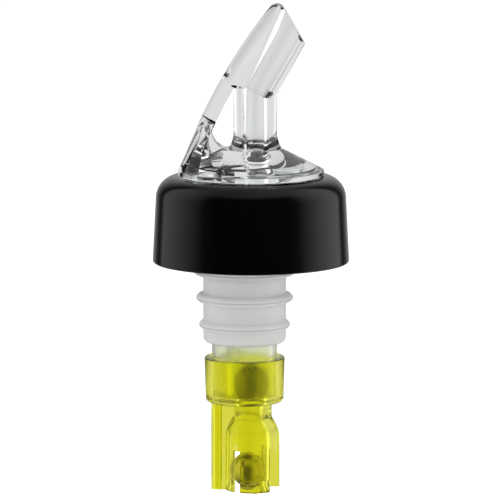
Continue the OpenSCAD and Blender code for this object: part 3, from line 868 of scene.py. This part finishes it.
class POURER_OT_stage(PourerOperator, bpy.types.Operator):
    """Sets the floor, the lamps, the surroundings and the camera"""
    bl_idname = "pourer.stage"
    bl_label = "Studio"

    def execute(self, context):
        scene = context.scene
        self.surroundings(scene)
        self.floor(scene, scene.pourer_stage)
        self.lamps(scene)
        self.camera(scene)
        scene.view_settings.view_transform = "Standard"
        return {"FINISHED"}

    def room(self, tree, table, turn, height, rise, overhead, power):
        """Walls from a table of brightness by angle, which pass into one brightness overhead."""
        walls = add(tree, "ShaderNodeValToRGB", None, {"Fac": turn})
        stops = walls.color_ramp.elements
        stops[0].position, stops[-1].position = 0, 1
        for degrees, _ in table[1:-1]:
            stops.new(degrees / 180)
        for stop, (degrees, bright) in zip(stops, table):
            stop.position, stop.color = degrees / 180, (bright, bright, bright, 1)
        ends = {"From Min": rise[0], "From Max": rise[1]}
        share = add(tree, "ShaderNodeMapRange", ends, {"Value": height})
        mixed = add(tree, "ShaderNodeMix", {COLOUR_B: (overhead, overhead, overhead, 1)},
                    {0: share.outputs[0], COLOUR_A: walls.outputs["Color"]}, data_type="RGBA")
        return add(tree, "ShaderNodeBackground", None,
                   {"Color": mixed.outputs[COLOUR_OUT], "Strength": power}).outputs[0]

    def surroundings(self, scene):
        """White to the camera, a studio's walls to gloss and clear plastic, and plain light to the rest."""
        world = bpy.data.worlds.new("studio")
        scene.world = world
        world.use_nodes = True
        tree = world.node_tree
        tree.nodes.clear()
        way = add(tree, "ShaderNodeTexCoord").outputs["Generated"]
        flat = add(tree, "ShaderNodeVectorMath", {1: (1, 1, 0)}, {0: way}, operation="MULTIPLY").outputs[0]
        unit = add(tree, "ShaderNodeVectorMath", None, {0: flat}, operation="NORMALIZE").outputs[0]
        front = add(tree, "ShaderNodeVectorMath", {1: (0, -1, 0)}, {0: unit}, operation="DOT_PRODUCT")
        angle = add(tree, "ShaderNodeMath", None, {0: front.outputs["Value"]}, operation="ARCCOSINE")
        turn = add(tree, "ShaderNodeMath", {1: math.pi}, {0: angle.outputs[0]}, operation="DIVIDE").outputs[0]
        height = add(tree, "ShaderNodeSeparateXYZ", None, {0: way}).outputs["Z"]
        across = add(tree, "ShaderNodeSeparateXYZ", None, {0: unit}).outputs["X"]
        # gloss: weaker from the left than from the right
        power = add(tree, "ShaderNodeMapRange",
                    {"From Min": -1, "From Max": 1, "To Min": 0.55, "To Max": 0.82}, {"Value": across})
        gloss = self.room(tree, GLOSS_LIGHT, turn, height, (0.66, 0.92), 0.5, power.outputs[0])
        # clear plastic: weaker from far below
        power = add(tree, "ShaderNodeMapRange",
                    {"From Min": -0.6, "From Max": -0.25, "To Min": 0.9, "To Max": 1.3}, {"Value": height})
        clear = self.room(tree, CLEAR_LIGHT, turn, height, (0.45, 0.8), 0.65, power.outputs[0])
        plain = add(tree, "ShaderNodeBackground", {"Color": WHITE, "Strength": 0.5}).outputs[0]
        white = add(tree, "ShaderNodeBackground", {"Color": WHITE, "Strength": 1.0}).outputs[0]
        light_path = add(tree, "ShaderNodeLightPath").outputs
        shown = plain
        for ray, look in (("Glossy", gloss), ("Transmission", clear), ("Camera", white)):
            test = light_path[f"Is {ray} Ray"]
            shown = add(tree, "ShaderNodeMixShader", None, {0: test, 1: shown, 2: look}).outputs[0]
        add(tree, "ShaderNodeOutputWorld", None, {"Surface": shown})

    def floor(self, scene, s):
        """Matt white paper: it shows white to the camera but keeps the object's shadow."""
        radius, glow = 4.0, 0.56    # in metres, and what the camera sees over the paper's own light
        bm = bmesh.new()
        bmesh.ops.create_circle(bm, cap_ends=True, segments=96, radius=radius)
        bmesh.ops.translate(bm, verts=bm.verts, vec=(0, 0, CAD_BOX[0].z - s.floor_drop))
        mesh = bpy.data.meshes.new("floor")
        bm.to_mesh(mesh)
        bm.free()
        paper = bpy.data.materials.new("matt_white_paper")
        paper.use_nodes = True
        tree = paper.node_tree
        tree.nodes.clear()
        matt = add(tree, "ShaderNodeBsdfDiffuse", {"Color": (*s.paper, 1)})
        light_path = add(tree, "ShaderNodeLightPath").outputs
        seen = add(tree, "ShaderNodeMath", {1: glow}, {0: light_path["Is Camera Ray"]}, operation="MULTIPLY")
        bright = add(tree, "ShaderNodeEmission", {"Color": WHITE}, {"Strength": seen.outputs[0]})
        both = add(tree, "ShaderNodeAddShader", None, {0: matt.outputs[0], 1: bright.outputs[0]})
        add(tree, "ShaderNodeOutputMaterial", None, {"Surface": both.outputs[0]})
        mesh.materials.append(paper)
        floor = bpy.data.objects.new("floor", mesh)
        scene.collection.objects.link(floor)
        floor.visible_glossy = floor.visible_transmission = False

    def lamps(self, scene):
        """A large lamp at each side, one above and a weak low one in front, all soft, for what is matt."""
        target = Vector((0, 0, 0.01))
        for name, place, width, height, power in LAMPS:
            lamp = bpy.data.lights.new(name, "AREA")
            lamp.shape, lamp.size, lamp.size_y, lamp.energy = "RECTANGLE", width, height, power
            holder = bpy.data.objects.new(name, lamp)
            holder.location = place
            holder.rotation_euler = (target - Vector(place)).to_track_quat("-Z", "Y").to_euler()
            holder.visible_glossy = holder.visible_transmission = False
            scene.collection.objects.link(holder)

    def camera(self, scene):
        """The camera stands in front, a little above, and looks along +Y."""
        rise = math.radians(8.1)
        target = Vector((1.19, 0, 10.46)) * MM
        distance, view, sensor = 1.0, 0.1102, 36    # metres to the object, metres across the view, and mm
        eye = bpy.data.cameras.new("camera")
        eye.sensor_width, eye.sensor_fit = sensor, "HORIZONTAL"
        eye.lens = sensor * distance / view
        eye.clip_start, eye.clip_end = 0.05, 30
        camera = bpy.data.objects.new("camera", eye)
        camera.location = target + distance * Vector((0, -math.cos(rise), math.sin(rise)))
        camera.rotation_euler = (math.pi / 2 - rise, 0, 0)
        scene.collection.objects.link(camera)
        scene.camera = camera


class POURER_PT_panel(bpy.types.Panel):
    """Lists the pourer's pieces and their sizes"""
    bl_idname = "POURER_PT_panel"
    bl_label = "Measured pourer"
    bl_space_type = "VIEW_3D"
    bl_region_type = "UI"
    bl_category = "Pourer"

    def draw(self, context):
        for operator, group in ORDER:
            self.layout.operator(operator.bl_idname)
            settings = getattr(context.scene, group)
            for key in settings.__annotations__:
                self.layout.prop(settings, key)


ORDER = (
    (POURER_OT_stem, "pourer_cork"),
    (POURER_OT_cork, "pourer_cork"),
    (POURER_OT_collar, "pourer_collar"),
    (POURER_OT_spout, "pourer_spout"),
    (POURER_OT_tail, "pourer_tail"),
    (POURER_OT_balls, "pourer_balls"),
    (POURER_OT_stage, "pourer_stage"),
)
GROUPS = {
    "pourer_spout": SpoutSettings,
    "pourer_collar": CollarSettings,
    "pourer_cork": CorkSettings,
    "pourer_tail": TailSettings,
    "pourer_balls": BallSettings,
    "pourer_stage": StageSettings,
}
CLASSES = (*GROUPS.values(), *(operator for operator, _ in ORDER), POURER_PT_panel)


def register():
    """Adds the classes, and the settings to every scene."""
    for cls in CLASSES:
        bpy.utils.register_class(cls)
    for name, group in GROUPS.items():
        setattr(bpy.types.Scene, name, PointerProperty(type=group))


def unregister():
    """Takes away what register added."""
    for name in GROUPS:
        delattr(bpy.types.Scene, name)
    for cls in reversed(CLASSES):
        bpy.utils.unregister_class(cls)


def main():
    """Builds every piece and the stage."""
    register()
    for operator, _ in ORDER:
        group, name = operator.bl_idname.split(".")
        getattr(getattr(bpy.ops, group), name)()
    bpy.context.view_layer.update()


if __name__ == "__main__":
    main()
